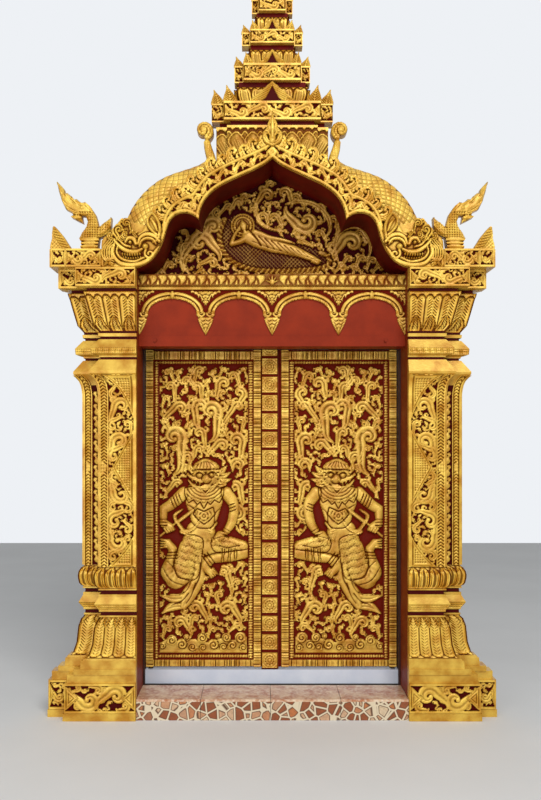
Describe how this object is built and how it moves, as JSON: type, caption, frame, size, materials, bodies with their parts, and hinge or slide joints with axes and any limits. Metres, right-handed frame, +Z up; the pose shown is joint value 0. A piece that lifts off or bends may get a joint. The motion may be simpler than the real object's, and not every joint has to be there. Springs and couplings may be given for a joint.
{
  "type": "carved temple door",
  "caption": "Double-leaf carved temple door in a gilded pilastered frame with a serpent arch and stepped spire; the leaves swing inward on pivots.",
  "frame": {"origin": "middle of the doorway on the plane the plinths stand on, in the plane of the wall's face", "axes": "+X to the viewer's right, +Y into the wall, +Z up"},
  "size_m": [2.694, 0.546, 4.79],
  "materials": {
    "gilded_masonry": "gold paint over carved cement, satin",
    "gilded_carved_wood": "gold paint on carved wood over a red-brown ground, satin",
    "red_boards": "brick-red gloss paint, satin",
    "maroon_plaster": "deep maroon paint on plaster, matte",
    "masonry": "bare cement, rough",
    "step_tiles": "mottled terracotta glaze",
    "sill_tiles": "pale blue-grey glaze",
    "iron": "worn forged iron"
  },
  "bodies": {
    "frame": {"left_plinth": "gilded_masonry", "right_plinth": "gilded_masonry", "left_pedestal": "gilded_masonry", "right_pedestal": "gilded_masonry", "left_base_moulding": "gilded_masonry", "right_base_moulding": "gilded_masonry", "left_pilaster_shaft": "gilded_masonry", "right_pilaster_shaft": "gilded_masonry", "left_capital": "gilded_masonry", "right_capital": "gilded_masonry", "left_entablature_block": "gilded_masonry", "right_entablature_block": "gilded_masonry", "left_cornice_block": "gilded_masonry", "right_cornice_block": "gilded_masonry", "left_corner_leaf": "gilded_masonry", "right_corner_leaf": "gilded_masonry", "left_naga_crest": "gilded_masonry", "right_naga_crest": "gilded_masonry", "left_makara_head": "gilded_masonry", "right_makara_head": "gilded_masonry", "left_naga": "gilded_masonry", "right_naga": "gilded_masonry", "left_arch_half": "gilded_masonry", "right_arch_half": "gilded_masonry", "apex_palmette": "gilded_masonry", "spire_lotus_base": "gilded_masonry", "spire_tier_1": "gilded_masonry", "spire_tier_2": "gilded_masonry", "spire_tier_3": "gilded_masonry", "spire_tier_4": "gilded_masonry", "spire_tip": "gilded_masonry", "doorstep": "masonry", "step_tread_tiles": "step_tiles", "step_riser_tiles": "step_tiles", "threshold_sill": "sill_tiles", "tympanum": "gilded_carved_wood", "foliage_cornice": "gilded_carved_wood", "valance": "gilded_carved_wood", "lintel_panel": "red_boards", "lintel_rail": "red_boards", "head_beam": "red_boards", "left_lintel_peg": "red_boards", "right_lintel_peg": "red_boards", "left_jamb_lining": "red_boards", "right_jamb_lining": "red_boards", "left_door_post": "red_boards", "right_door_post": "red_boards", "left_lower_socket": "iron", "left_upper_socket": "iron", "right_lower_socket": "iron", "right_upper_socket": "iron"},
    "left_door": {"left_leaf": "gilded_carved_wood", "cover_strip": "gilded_carved_wood", "left_lower_pin": "iron", "left_upper_pin": "iron"},
    "right_door": {"right_leaf": "gilded_carved_wood", "right_lower_pin": "iron", "right_upper_pin": "iron"}
  },
  "joints": [
    {"name": "left_leaf_hinge", "type": "hinge", "parent": "frame", "child": "left_door", "pos_m": [-0.769, 0.215, 0.2], "axis": [0, 0, 1], "range_deg": [0, 90]},
    {"name": "right_leaf_hinge", "type": "hinge", "parent": "frame", "child": "right_door", "pos_m": [0.769, 0.215, 0.2], "axis": [0, 0, -1], "range_deg": [0, 90]}
  ]
}
